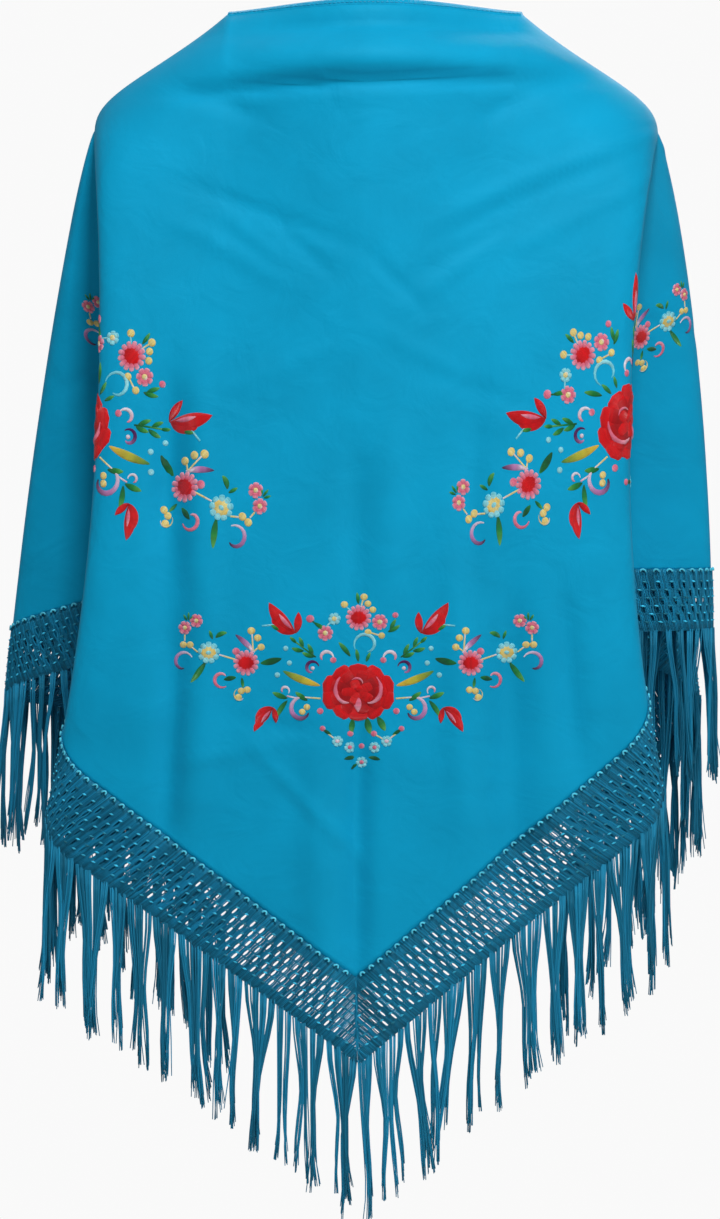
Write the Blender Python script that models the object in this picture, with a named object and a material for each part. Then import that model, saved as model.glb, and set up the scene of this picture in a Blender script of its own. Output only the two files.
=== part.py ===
"""Triangular embroidered shawl with a knotted lace band and a long fringe, as it is worn.

One triangle of cloth lies over both shoulders. Its long edge crosses the nape and comes down in
front as the two open front edges. Its point hangs at the middle of the back. Each short edge
carries a band of knotted lace, and each band carries a fringe.

Metres, +Z up, x to the right as the back is seen, y from the back to the front. The origin is
midway between the shoulders, where the wearer carries the shawl.
"""
import math
from collections import namedtuple

import bmesh
import bpy
import numpy as np

NAME = "embroidered_shawl"

# The flat cut, with its long edge on top and its point below.
CUT_DEPTH = 0.790
RIDGE_CUT_ANGLE = math.radians(45.0)

# Walls, the gap that parts them, and the trims.
CLOTH_WALL = 0.0015
LACE_WALL = 0.0018
SEAM_GAP = 0.0005
MITRE_GAP = 0.0007
FRINGE_GAP = 0.0009
LACE_WIDTH = 0.050
STRIP_HEIGHT = 0.006
STRIP_WALL = 0.0018
FRINGE_LENGTH = 0.127

# The neck edge and the rounding over the shoulders.
NECK_Z = 0.052
NAPE_Y = -0.078
NECK_POWER = 1.3
SHOULDER_BOW = 0.15
RIDGE_SLOPE = math.radians(40.0)
CAP_DEPTH = 0.075
CAP_SHARE = np.array([0.12, 0.55])
MID_Z = -0.300
FOLD_SOFTENING = 0.046
SOFTENING_SAMPLES = 13
TABLE_OVERHANG = 0.1

# The back's soft folds fade out towards the sides, the shoulder's end and the top edge.
BACK_FADE = 0.10
TIP_FADE = 0.04
PAST_TIP = 0.03
TOP_FADE = 0.02

# How finely each stretch is divided.
NECK_COLUMNS = 8
RIDGE_COLUMNS = 6
SIDE_COLUMNS = 24
ROWS = 20
ROW_POWER = 1.25
NORMAL_STEP = 0.003

# The fringe's locks: the share of the pitch that each fills, how far it draws in at its tip, and
# how uneven its length is from one lock to the next.
LOCKS_PER_SIDE = 110
LOCK_SHARE = 0.7
LOCK_TIP_SHARE = 0.55
LOCK_UNEVENNESS = 0.006
UNEVENNESS_TURN = 2.4

CLOTH_BLUE = (0.004, 0.292, 0.560)
LACE_BLUE = (0.010, 0.144, 0.279)

# cut: length of the long edge on this side. neck_cut: flat distance from the middle to the neck
# point. ridge_cut: flat length of the shoulder. neck_x, tip_x, tip_z: where the shoulder starts
# and ends on the figure.
Side = namedtuple("Side", "name sign cut neck_cut ridge_cut neck_x tip_x tip_z")
LEFT = Side("left", -1, 0.900, 0.115, 0.149, 0.118, 0.2300, -0.0450)
RIGHT = Side("right", 1, 0.850, 0.110, 0.161, 0.125, 0.2385, -0.0475)

# Each row is one turn of the cloth, at a distance along the short edge from the point. It gives
# where that turn lies at chest height and at the seam, and how low the seam is there. The x of
# a side is counted outwards from the middle of the back.
Turn = namedtuple("Turn", "name girth mid_x mid_y hem_x hem_y hem_z")
LEFT_TURNS = (
    Turn("point", 0.000, 0.013, -0.128, 0.013, -0.130, -0.740),
    Turn("back_edge", 0.293, 0.232, -0.118, 0.268, -0.112, -0.551),
    Turn("valley", 0.563, 0.150, -0.010, 0.085, -0.016, -0.392),
    Turn("side_ridge", 0.795, 0.297, 0.022, 0.332, 0.032, -0.465),
    Turn("front_valley", 0.873, 0.252, 0.072, 0.226, 0.084, -0.470),
    Turn("front_ridge", 0.946, 0.262, 0.098, 0.284, 0.108, -0.492),
    Turn("front_line", 1.038, 0.222, 0.126, 0.228, 0.136, -0.532),
    Turn("front_dip", 1.118, 0.172, 0.114, 0.176, 0.118, -0.590),
    Turn("front_edge", 1.197, 0.127, 0.124, 0.128, 0.136, -0.650),
)
RIGHT_TURNS = (
    Turn("point", 0.000, -0.013, -0.128, -0.013, -0.130, -0.740),
    Turn("back_edge", 0.3055, 0.215, -0.118, 0.239, -0.112, -0.528),
    Turn("valley", 0.480, 0.184, -0.034, 0.142, -0.014, -0.412),
    Turn("side_ridge", 0.607, 0.296, 0.020, 0.318, 0.032, -0.411),
    Turn("front_valley", 0.743, 0.222, 0.066, 0.152, 0.080, -0.405),
    Turn("front_ridge", 0.839, 0.268, 0.098, 0.290, 0.108, -0.450),
    Turn("front_line", 0.993, 0.232, 0.126, 0.236, 0.138, -0.512),
    Turn("front_dip", 1.080, 0.194, 0.114, 0.198, 0.120, -0.560),
    Turn("front_edge", 1.160, 0.155, 0.124, 0.163, 0.138, -0.615),
)

# The largest soft folds of the back: where the middle of each lies, how its length leans from
# the vertical, its half length and half width, and how far it stands out from the wearer.
Fold = namedtuple("Fold", "name x z lean half_length half_width stand_out")
BACK_FOLDS = (
    Fold("nape_hollow", 0.000, 0.030, 90, 0.120, 0.014, -0.006),
    Fold("nape_roll", 0.000, -0.003, 90, 0.120, 0.018, 0.009),
    Fold("left_fall", -0.155, -0.380, 2, 0.110, 0.018, -0.006),
    Fold("right_fall", 0.100, -0.560, -2, 0.120, 0.020, -0.006),
    Fold("point_crease", -0.013, -0.640, 0, 0.130, 0.014, -0.009),
)


def leg_angle(side):
    """Angle of the short edge to the long edge in the flat cut."""
    return math.atan2(CUT_DEPTH, side.cut)


def leg_length(side):
    """Length of the short edge in the flat cut."""
    return math.hypot(CUT_DEPTH, side.cut)


def tip_cut(side):
    """Flat position of the shoulder's outer end: distance from the middle, and depth."""
    across = side.neck_cut + side.ridge_cut * math.cos(RIDGE_CUT_ANGLE)
    return across, side.ridge_cut * math.sin(RIDGE_CUT_ANGLE)


def tip_foot(side):
    """Girth and length of the perpendicular from the shoulder's outer end to the short edge."""
    across, depth = tip_cut(side)
    angle = leg_angle(side)
    below = CUT_DEPTH - depth
    girth = across * math.cos(angle) + below * math.sin(angle)
    return girth, below * math.cos(angle) - across * math.sin(angle)


def soft_table(turns, column, girth):
    """A column of the table at each girth: straight between rows, its corners averaged round."""
    at = np.array([turn.girth for turn in turns])
    value = np.array([getattr(turn, column) for turn in turns])
    before = value[0] - (value[1] - value[0]) / (at[1] - at[0]) * TABLE_OVERHANG
    after = value[-1] + (value[-1] - value[-2]) / (at[-1] - at[-2]) * TABLE_OVERHANG
    at = np.concatenate(([at[0] - TABLE_OVERHANG], at, [at[-1] + TABLE_OVERHANG]))
    value = np.concatenate(([before], value, [after]))
    shifts = np.linspace(-FOLD_SOFTENING, FOLD_SOFTENING, SOFTENING_SAMPLES)
    return np.mean([np.interp(girth + shift, at, value) for shift in shifts], axis=0)


def column_starts(side, girth):
    """Where each column of the cloth starts: on the neck edge, on the ridge or at its end."""
    angle = leg_angle(side)
    tip_across, tip_depth = tip_cut(side)
    across = girth * math.cos(angle)
    depth = CUT_DEPTH - girth * math.sin(angle)
    on_back = np.clip((across - side.neck_cut) / (tip_across - side.neck_cut), 0, 1)
    on_front = np.clip(depth / tip_depth, 0, 1)
    ridge = np.where(across <= tip_across, on_back, on_front)
    neck = np.clip(across / side.neck_cut, 0, 1)
    bowed = ridge + SHOULDER_BOW * np.sin(math.pi * ridge ** 2)
    x = side.neck_x * neck + (side.tip_x - side.neck_x) * bowed
    y = NAPE_Y * np.cos(math.pi / 2 * neck) ** NECK_POWER
    z = NECK_Z + (side.tip_z - NECK_Z) * ridge
    return x, y, z


def below_seam(side, girth, width):
    """Drop along each column to a line that runs this far from the seam and parallel to it."""
    foot, distance = tip_foot(side)
    angle = leg_angle(side)
    tilt = np.clip(np.arctan((girth - foot) / distance), -angle, math.pi / 2 - angle)
    return width / np.cos(tilt)


def back_fold_depth(x, z):
    """How far the back's soft folds move each point outwards: a sum of smooth bumps."""
    total = np.zeros_like(x)
    for fold in BACK_FOLDS:
        lean = math.radians(fold.lean)
        along = (x - fold.x) * math.sin(lean) + (z - fold.z) * math.cos(lean)
        beside = (x - fold.x) * math.cos(lean) - (z - fold.z) * math.sin(lean)
        bump = np.exp(-(along / fold.half_length) ** 4 - (beside / fold.half_width) ** 2)
        total += fold.stand_out * bump
    return total


def draped(side, girth, drop, seam_drop=None):
    """Points of the worn cloth.

    A column starts at its ridge point, rounds outwards as a quarter ellipse, and then follows
    the parabola through its place at chest height and its place at the seam.
    """
    turns = LEFT_TURNS if side.sign < 0 else RIGHT_TURNS
    start_x, start_y, start_z = column_starts(side, girth)
    hem_z = soft_table(turns, "hem_z", girth)
    full = start_z - hem_z
    down = drop * full if seam_drop is None else full + seam_drop
    middle = start_z - MID_Z
    rounded = np.clip(down / CAP_DEPTH, 0, 1)
    rounded = np.sqrt(np.clip(1 - (1 - rounded) ** 2, 0, 1))
    through_mid = down * (down - full) / (middle * (middle - full))
    through_hem = down * (down - middle) / (full * (full - middle))
    plan = []
    for start, share, axis in zip((start_x, start_y), CAP_SHARE, "xy"):
        mid = soft_table(turns, "mid_" + axis, girth) - start
        hem = soft_table(turns, "hem_" + axis, girth) - start
        cap = share * mid
        plan.append(start + cap * rounded + (mid - cap) * through_mid + (hem - cap) * through_hem)
    x, y = plan[0] * side.sign, plan[1]
    z = start_z - down
    behind = np.clip(-y / BACK_FADE, 0, 1)
    inside = np.clip((side.tip_x + PAST_TIP - plan[0]) / TIP_FADE, 0, 1)
    on_back = girth * math.cos(leg_angle(side)) <= tip_cut(side)[0] + 1e-6
    y = y - back_fold_depth(x, z) * behind * inside * on_back * np.clip(down / TOP_FADE, 0, 1)
    return np.stack([x, y, z], axis=-1)


def column_girths(side):
    """Girths of the cloth's columns, from the point to the front edge."""
    angle = leg_angle(side)
    tip_across, tip_depth = tip_cut(side)
    foot, distance = tip_foot(side)
    ridge = np.linspace(0, 1, RIDGE_COLUMNS + 1)
    neck = np.linspace(0, side.neck_cut, NECK_COLUMNS + 1)
    back_ridge = side.neck_cut + ridge * (tip_across - side.neck_cut)
    swing = np.linspace(0, math.pi / 2, 2 * SIDE_COLUMNS)[1:-1]
    fan = foot + distance * np.tan(swing - angle)
    fan = np.linspace(fan[0], fan[-1], SIDE_COLUMNS)
    front_ridge = (CUT_DEPTH - ridge[::-1] * tip_depth) / math.sin(angle)
    across = np.concatenate((neck[:-1], back_ridge))
    return np.concatenate((across / math.cos(angle), fan, front_ridge))


def wall_way(side, girth, drop, below):
    """The way outwards through the wall: square to the surface at each point.

    It is worked out from the surface itself, so two pieces that meet at a seam share it and
    the gap between them stays even. Along the shoulder it is square to the ridge.
    """
    step = NORMAL_STEP
    across = draped(side, girth + step, drop, below) - draped(side, girth - step, drop, below)
    if below is None:
        down = draped(side, girth, drop + step, None) - draped(side, girth, drop, None)
    else:
        down = draped(side, girth, None, below + step) - draped(side, girth, None, below)
    way = np.cross(across, down) * -side.sign
    if below is None:
        on_ridge = girth[:, 0] * math.cos(leg_angle(side)) > side.neck_cut - 1e-6
        way[on_ridge, 0] = np.array([side.sign * math.sin(RIDGE_SLOPE), 0, math.cos(RIDGE_SLOPE)])
    return way / np.linalg.norm(way, axis=-1, keepdims=True)


def wall_mesh(name, outer, inner, material):
    """A closed smooth wall between two grids of points, sewn together where they coincide."""
    columns, rows = outer.shape[:2]
    sheet = bmesh.new()
    inside = sheet.verts.layers.float_vector.new("inside")
    points = [sheet.verts.new(point) for point in outer.reshape(-1, 3)]
    for point, place_inside in zip(points, inner.reshape(-1, 3)):
        point[inside] = place_inside
    for column in range(columns - 1):
        for row in range(rows - 1):
            first = column * rows + row
            corners = (first, first + 1, first + rows + 1, first + rows)
            sheet.faces.new([points[corner] for corner in corners])
    bmesh.ops.remove_doubles(sheet, verts=sheet.verts, dist=1e-5)
    rim = [edge for edge in sheet.edges if edge.is_boundary]
    copied = bmesh.ops.duplicate(sheet, geom=sheet.verts[:] + sheet.edges[:] + sheet.faces[:])
    copy_of = copied["vert_map"]
    for thing in copied["geom"]:
        if isinstance(thing, bmesh.types.BMVert):
            thing.co = thing[inside]
    for edge in rim:
        one, two = edge.verts
        sheet.faces.new((one, two, copy_of[two], copy_of[one]))
    bmesh.ops.recalc_face_normals(sheet, faces=sheet.faces)
    mesh = bpy.data.meshes.new(name)
    sheet.to_mesh(mesh)
    sheet.free()
    mesh.attributes.remove(mesh.attributes["inside"])
    mesh.materials.append(material)
    mesh.shade_smooth()
    return mesh


def place(name, mesh):
    """Put a mesh in the shawl's collection."""
    thing = bpy.data.objects.new(name, mesh)
    shawl.objects.link(thing)
    return thing


def plain_material(name, colour, roughness):
    """A plain cloth or thread finish."""
    material = bpy.data.materials.new(name)
    material.use_nodes = True
    shader = material.node_tree.nodes["Principled BSDF"]
    shader.inputs["Base Color"].default_value = (*colour, 1)
    shader.inputs["Roughness"].default_value = roughness
    shader.inputs["Metallic"].default_value = 0
    return material


def make_cloth():
    """The whole triangle of cloth, folded over both shoulders, as one wall."""
    drops = np.linspace(0, 1, ROWS + 1) ** ROW_POWER
    outers = []
    inners = []
    for side in (LEFT, RIGHT):
        girth, drop = np.meshgrid(column_girths(side), drops, indexing="ij")
        outer = draped(side, girth, drop)
        inner = outer - wall_way(side, girth, drop, None) * CLOTH_WALL
        outers.append(outer[:0:-1] if side is LEFT else outer)
        inners.append(inner[:0:-1] if side is LEFT else inner)
    finish = plain_material("blue_cloth", CLOTH_BLUE, 0.55)
    mesh = wall_mesh("shawl_cloth", np.concatenate(outers), np.concatenate(inners), finish)
    return place("shawl_cloth", mesh)


def make_lace(side):
    """The knotted lace band below one short edge, mitred at the point."""
    girths = column_girths(side)
    girths[0] = MITRE_GAP / 2 / math.cos(leg_angle(side))
    girth, width = np.meshgrid(girths, np.linspace(SEAM_GAP, LACE_WIDTH, 3), indexing="ij")
    below = below_seam(side, girth, width)
    outer = draped(side, girth, None, below)
    inner = outer - wall_way(side, girth, None, below) * LACE_WALL
    name = "lace_" + side.name
    mesh = wall_mesh(name, outer, inner, plain_material("thread_" + name, LACE_BLUE, 0.4))
    return place(name, mesh)


def fringe_stations(side):
    """Pairs of girths along the band's lower edge, one pair for each lock of the fringe."""
    pitch = leg_length(side) / LOCKS_PER_SIDE
    starts = (np.arange(LOCKS_PER_SIDE) + (1 - LOCK_SHARE) / 2) * pitch
    return np.stack((starts, starts + LOCK_SHARE * pitch), axis=1).ravel()


def band_edge(side):
    """Where the fringe is sewn on: points along the band's lower edge, and the way outwards."""
    girths = column_girths(side)
    below = below_seam(side, girths, LACE_WIDTH)
    outward = wall_way(side, girths, None, below)
    edge = draped(side, girths, None, below_seam(side, girths, LACE_WIDTH + FRINGE_GAP))
    stations = fringe_stations(side)
    return [np.stack([np.interp(stations, girths, line[:, axis]) for axis in range(3)], axis=1)
            for line in (edge, outward)]


def make_fringe(side):
    """One comb: a narrow strip along the band's lower edge, with the locks drawn down from it.

    The strip has four corner lines. Each lock's root is the strip's own underside between two
    stations, and its tip is the same section moved down and drawn in.
    """
    edge, outward = band_edge(side)
    inner = edge - outward * STRIP_WALL
    down = np.array([0, 0, -STRIP_HEIGHT])
    rings = np.stack((edge, edge + down, inner + down, inner), axis=1)
    roots = np.concatenate((rings[0::2, 1:3], rings[1::2, 2:0:-1]), axis=1)
    middle = roots.mean(axis=1, keepdims=True)
    count = np.arange(len(roots))[:, None, None]
    length = FRINGE_LENGTH - STRIP_HEIGHT + LOCK_UNEVENNESS * np.sin(UNEVENNESS_TURN * count)
    tips = middle + (roots - middle) * LOCK_TIP_SHARE
    tips[:, :, 2] = middle[:, :, 2] - length[:, :, 0]
    points = np.concatenate((rings.reshape(-1, 3), tips.reshape(-1, 3)))

    ring = np.arange(len(rings) * 4).reshape(-1, 4)
    tip = len(rings) * 4 + np.arange(len(tips) * 4).reshape(-1, 4)
    faces = []
    for one, two in ((0, 1), (2, 3), (3, 0)):
        faces.append(np.stack((ring[:-1, one], ring[:-1, two], ring[1:, two], ring[1:, one]), 1))
    gap = ring[1:-1:2], ring[2::2]
    faces.append(np.stack((gap[0][:, 1], gap[0][:, 2], gap[1][:, 2], gap[1][:, 1]), 1))
    root = np.stack((ring[0::2, 1], ring[0::2, 2], ring[1::2, 2], ring[1::2, 1]), 1)
    for one in range(4):
        two = (one + 1) % 4
        faces.append(np.stack((root[:, one], root[:, two], tip[:, two], tip[:, one]), 1))
    faces.append(tip)
    faces.append(ring[:1, ::-1])
    faces.append(ring[-1:])
    name = "fringe_" + side.name
    mesh = bpy.data.meshes.new(name)
    mesh.from_pydata(points.tolist(), [], np.concatenate(faces).tolist())
    comb = bmesh.new()
    comb.from_mesh(mesh)
    bmesh.ops.recalc_face_normals(comb, faces=comb.faces)
    comb.to_mesh(mesh)
    comb.free()
    mesh.materials.append(plain_material("thread_" + name, LACE_BLUE, 0.4))
    return place(name, mesh)


for leftover in list(bpy.data.objects):
    bpy.data.objects.remove(leftover)
shawl = bpy.data.collections.new(NAME)
bpy.context.scene.collection.children.link(shawl)
make_cloth()
for half in (LEFT, RIGHT):
    make_lace(half)
    make_fringe(half)
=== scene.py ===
import math
from collections import namedtuple

import bmesh
import bpy
import numpy as np
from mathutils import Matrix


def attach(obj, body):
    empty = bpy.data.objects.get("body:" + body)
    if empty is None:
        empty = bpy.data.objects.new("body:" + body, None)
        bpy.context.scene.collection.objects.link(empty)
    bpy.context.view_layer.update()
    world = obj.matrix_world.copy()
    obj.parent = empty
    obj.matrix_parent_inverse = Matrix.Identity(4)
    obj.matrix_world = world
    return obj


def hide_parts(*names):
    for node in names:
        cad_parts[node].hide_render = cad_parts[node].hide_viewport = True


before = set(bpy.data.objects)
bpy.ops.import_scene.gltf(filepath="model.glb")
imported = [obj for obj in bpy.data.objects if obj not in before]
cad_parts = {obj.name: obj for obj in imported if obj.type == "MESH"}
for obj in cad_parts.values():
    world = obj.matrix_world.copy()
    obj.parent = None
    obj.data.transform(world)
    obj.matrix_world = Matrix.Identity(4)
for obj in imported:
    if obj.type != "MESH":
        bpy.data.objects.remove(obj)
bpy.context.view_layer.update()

# The cloth. One triangle of blue crepe, cut with its long edge on top and its point below. It
# is folded over both shoulders and hangs free: the point behind, the two ends in front.
CUT_DEPTH = 0.790
RIDGE_CUT_ANGLE = math.radians(45.0)
CLOTH_WALL = 0.0012
NECK_Z = 0.052
NAPE_Y = -0.078
NAPE_ROUNDING = 1.3
SHOULDER_BOW = 0.15
CAP_DEPTH = 0.075
CAP_SHARE = np.array([0.12, 0.55])
MID_Z = -0.300
FOLD_SOFTENING = 0.046
FOLD_SAMPLES = 13
TABLE_MARGIN = 0.1
CREASE_FADE = 0.02
SLOPE_STEP = (0.003, 0.002)
CLOTH_COLUMNS = (40, 26, 96)
CLOTH_ROWS = 128
ROW_CROWDING = 1.12
SEWN_REACH = 2e-5
CLOTH_BLUE = (0.003, 0.322, 0.565)

Side = namedtuple("Side", "name sign cut neck_cut ridge_cut neck_x tip_x tip_z")
LEFT = Side("left", -1, 0.900, 0.115, 0.149, 0.118, 0.2300, -0.0450)
RIGHT = Side("right", 1, 0.850, 0.110, 0.161, 0.125, 0.2385, -0.0475)

Turn = namedtuple("Turn", "name girth mid_x mid_y hem_x hem_y hem_z")
LEFT_TURNS = [Turn(*row) for row in (
    ("point", 0.000, 0.013, -0.128, 0.013, -0.130, -0.740),
    ("back_edge", 0.293, 0.232, -0.118, 0.268, -0.112, -0.551),
    ("valley", 0.563, 0.150, -0.010, 0.085, -0.016, -0.392),
    ("side_ridge", 0.795, 0.297, 0.022, 0.332, 0.032, -0.465),
    ("front_valley", 0.873, 0.252, 0.072, 0.226, 0.084, -0.470),
    ("front_ridge", 0.946, 0.262, 0.098, 0.284, 0.108, -0.492),
    ("front_line", 1.038, 0.222, 0.126, 0.228, 0.136, -0.532),
    ("front_dip", 1.118, 0.172, 0.114, 0.176, 0.118, -0.590),
    ("front_edge", 1.197, 0.127, 0.124, 0.128, 0.136, -0.650),
)]
RIGHT_TURNS = [Turn(*row) for row in (
    ("point", 0.000, -0.013, -0.128, -0.013, -0.130, -0.740),
    ("back_edge", 0.3055, 0.215, -0.118, 0.239, -0.112, -0.528),
    ("valley", 0.480, 0.184, -0.034, 0.142, -0.014, -0.412),
    ("side_ridge", 0.607, 0.296, 0.020, 0.318, 0.032, -0.411),
    ("front_valley", 0.743, 0.222, 0.066, 0.152, 0.080, -0.405),
    ("front_ridge", 0.839, 0.268, 0.098, 0.290, 0.108, -0.450),
    ("front_line", 0.993, 0.232, 0.126, 0.236, 0.138, -0.512),
    ("front_dip", 1.080, 0.194, 0.114, 0.198, 0.120, -0.560),
    ("front_edge", 1.160, 0.155, 0.124, 0.163, 0.138, -0.615),
)]

# Soft folds and creases, by their place on the flat cut: how far the middle lies to the right
# of the point's line and below the long edge, how the crease leans from straight down, its half
# length and half width, and how far it stands out from the wearer, all in millimetres.
Crease = namedtuple("Crease", "name across depth lean half_length half_width stand_out")
CREASES = [Crease(*row) for row in (
    ("nape_hollow", 12, 17, 90, 122, 13, -7.0),
    ("nape_roll", 12, 52, 90, 124, 18, 10.0),
    ("nape_line", -2, 69, 91, 138, 6, -6.5),
    ("nape_line_left", -118, 80, 66, 40, 7, -2.4),
    ("nape_line_right", 126, 76, -60, 44, 7, -2.4),
    ("left_fall", -145, 430, 2, 110, 17, -8.0),
    ("right_fall", 116, 610, -2, 130, 15, -9.0),
    ("point_crease", 2, 690, -1, 125, 10, -9.0),
    ("point_swell", -26, 700, 1, 110, 13, 4.0),
    ("right_pull_high", 150, 138, -65, 95, 6, 2.2),
    ("right_pull_low", 122, 166, -62, 70, 6, -2.0),
    ("right_pull_third", 168, 178, -58, 60, 6, 1.6),
    ("left_pull", -72, 176, 68, 78, 5, -2.0),
    ("left_pull_low", -105, 205, 60, 60, 7, 1.5),
    ("middle_pull", 31, 234, 45, 32, 5, -1.8),
    ("left_pull_short", -84, 196, 52, 34, 5, 1.3),
    ("left_pull_inner", -46, 204, 48, 36, 5, -1.5),
    ("right_pull_fourth", 96, 196, -60, 66, 6, -1.3),
    ("right_pull_inner", 70, 228, -54, 48, 6, 1.3),
    ("middle_pull_low", 44, 286, 62, 46, 6, 1.2),
    ("left_mid_pull", -60, 300, -70, 50, 7, 1.0),
    ("right_mid_pull", 96, 320, 74, 50, 7, -1.0),
    ("left_column", -152, 366, 0, 60, 10, -4.5),
    ("left_light_column", -126, 400, 1, 90, 11, 3.0),
    ("middle_column", 0, 430, 0, 70, 11, -4.0),
    ("middle_swell", 28, 420, -1, 80, 13, 3.0),
    ("right_column", 92, 400, -2, 90, 12, -3.4),
    ("left_low_column", -134, 600, 1, 76, 9, -6.5),
    ("right_low_column", 160, 554, 0, 72, 10, -6.0),
    ("left_swell", -113, 560, 0, 120, 13, 4.0),
    ("right_swell", 80, 560, 0, 120, 13, 4.0),
    ("hem_pull_flat", -86, 606, 100, 46, 5, 1.8),
    ("hem_pull_steep", -34, 648, 41, 62, 5, 2.2),
    ("hem_pull_back", -54, 586, 79, 40, 5, -1.8),
    ("left_side_slant", -338, 250, 52, 60, 8, -3.6),
    ("left_side_slant_low", -352, 292, 47, 56, 8, 3.4),
    ("right_side_slant", 292, 250, -46, 44, 8, -1.2),
    ("left_front_fold", -610, 70, 86, 120, 12, -5.0),
    ("left_front_pull", -520, 120, 70, 80, 9, 4.0),
    ("right_front_fold", 560, 80, -84, 120, 12, -5.0),
    ("right_front_pull", 480, 130, -66, 80, 9, 4.0),
)]


def leg_angle(side):
    """Angle of the short edge to the long edge in the flat cut."""
    return math.atan2(CUT_DEPTH, side.cut)


def leg_length(side):
    """Length of the short edge in the flat cut."""
    return math.hypot(CUT_DEPTH, side.cut)


def tip_cut(side):
    """Flat place of the shoulder's outer end: distance from the point's line, and depth."""
    across = side.neck_cut + side.ridge_cut * math.cos(RIDGE_CUT_ANGLE)
    return across, side.ridge_cut * math.sin(RIDGE_CUT_ANGLE)


def tip_foot(side):
    """Girth and length of the perpendicular from the shoulder's outer end to the short edge."""
    across, depth = tip_cut(side)
    angle = leg_angle(side)
    below = CUT_DEPTH - depth
    girth = across * math.cos(angle) + below * math.sin(angle)
    return girth, below * math.cos(angle) - across * math.sin(angle)


def soft_table(side, column, girth):
    """Straight lines between the table's rows, averaged over a short stretch of girth."""
    turns = LEFT_TURNS if side is LEFT else RIGHT_TURNS
    at = np.array([turn.girth for turn in turns])
    value = np.array([getattr(turn, column) for turn in turns])
    past = np.diff(value) / np.diff(at) * TABLE_MARGIN
    at = np.concatenate(([at[0] - TABLE_MARGIN], at, [at[-1] + TABLE_MARGIN]))
    value = np.concatenate(([value[0] - past[0]], value, [value[-1] + past[-1]]))
    shifts = np.linspace(-FOLD_SOFTENING, FOLD_SOFTENING, FOLD_SAMPLES)
    return np.mean([np.interp(girth + shift, at, value) for shift in shifts], axis=0)


def column_starts(side, girth):
    """Start of each column: the neck edge as a cosine arch, the shoulder as a bowed slope."""
    angle = leg_angle(side)
    tip_across, tip_depth = tip_cut(side)
    across = girth * math.cos(angle)
    depth = CUT_DEPTH - girth * math.sin(angle)
    on_back = np.clip((across - side.neck_cut) / (tip_across - side.neck_cut), 0, 1)
    ridge = np.where(across <= tip_across, on_back, np.clip(depth / tip_depth, 0, 1))
    neck = np.clip(across / side.neck_cut, 0, 1)
    bowed = ridge + SHOULDER_BOW * np.sin(math.pi * ridge ** 2)
    x = side.neck_x * neck + (side.tip_x - side.neck_x) * bowed
    y = NAPE_Y * np.cos(math.pi / 2 * neck) ** NAPE_ROUNDING
    return x, y, NECK_Z + (side.tip_z - NECK_Z) * ridge


def column_drop(side, girth):
    """Height from each column's start down to the seam with the lace."""
    return column_starts(side, girth)[2] - soft_table(side, "hem_z", girth)


def smooth_drape(side, girth, down):
    """The cloth without its creases, for a girth and a height below the column's start.

    Plan place = start + quarter ellipse outwards + parabola through chest height and seam.
    """
    start_x, start_y, start_z = column_starts(side, girth)
    full = column_drop(side, girth)
    middle = start_z - MID_Z
    rounded = np.sqrt(np.clip(1 - (1 - np.clip(down / CAP_DEPTH, 0, 1)) ** 2, 0, 1))
    through_mid = down * (down - full) / (middle * (middle - full))
    through_hem = down * (down - middle) / (full * (full - middle))
    plan = []
    for start, share, axis in zip((start_x, start_y), CAP_SHARE, "xy"):
        mid = soft_table(side, "mid_" + axis, girth) - start
        hem = soft_table(side, "hem_" + axis, girth) - start
        cap = share * mid
        plan.append(start + cap * rounded + (mid - cap) * through_mid + (hem - cap) * through_hem)
    return np.stack([plan[0] * side.sign, plan[1], start_z - down], axis=-1)


def unit(vectors):
    """The same vectors, each divided by its length."""
    return vectors / np.maximum(np.linalg.norm(vectors, axis=-1, keepdims=True), 1e-12)


def outwards(side, girth, down):
    """Unit normal of the smooth cloth, away from the wearer: cross of its two slopes."""
    aside, lower = SLOPE_STEP
    across = smooth_drape(side, girth + aside, down) - smooth_drape(side, girth - aside, down)
    below = smooth_drape(side, girth, down + lower) - smooth_drape(side, girth, down)
    return unit(np.cross(across, below) * -side.sign)


def cut_place(side, girth, down):
    """Flat place of a point of the cloth, measured up from the short edge along its column."""
    angle = leg_angle(side)
    tip_across, tip_depth = tip_cut(side)
    foot, distance = tip_foot(side)
    above = column_drop(side, girth) - down
    swing = np.arctan((girth - foot) / distance) + angle
    swing = np.clip(swing, 0, math.pi / 2)
    edge_x = girth * math.cos(angle)
    edge_y = CUT_DEPTH - girth * math.sin(angle)
    return np.stack([(edge_x - above * np.sin(swing)) * side.sign,
                     edge_y - above * np.cos(swing)], axis=-1)


def crease_height(flat):
    """Sum of long smooth bumps: exp(-(along/half length)^4 - (beside/half width)^2) each."""
    total = np.zeros(flat.shape[:-1])
    for crease in CREASES:
        lean = math.radians(crease.lean)
        right = flat[..., 0] * 1000 - crease.across
        down = flat[..., 1] * 1000 - crease.depth
        along = right * math.sin(lean) + down * math.cos(lean)
        beside = right * math.cos(lean) - down * math.sin(lean)
        bump = np.exp(-(along / crease.half_length) ** 4 - (beside / crease.half_width) ** 2)
        total += crease.stand_out / 1000 * bump
    return total


def worn(side, girth, down, lift=0.0):
    """Points of the worn cloth: the smooth drape moved outwards by its creases and a lift."""
    fade = np.clip(down / CREASE_FADE, 0, 1)
    height = crease_height(cut_place(side, girth, down)) * fade + lift
    return smooth_drape(side, girth, down) + outwards(side, girth, down) * height[..., None]


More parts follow.
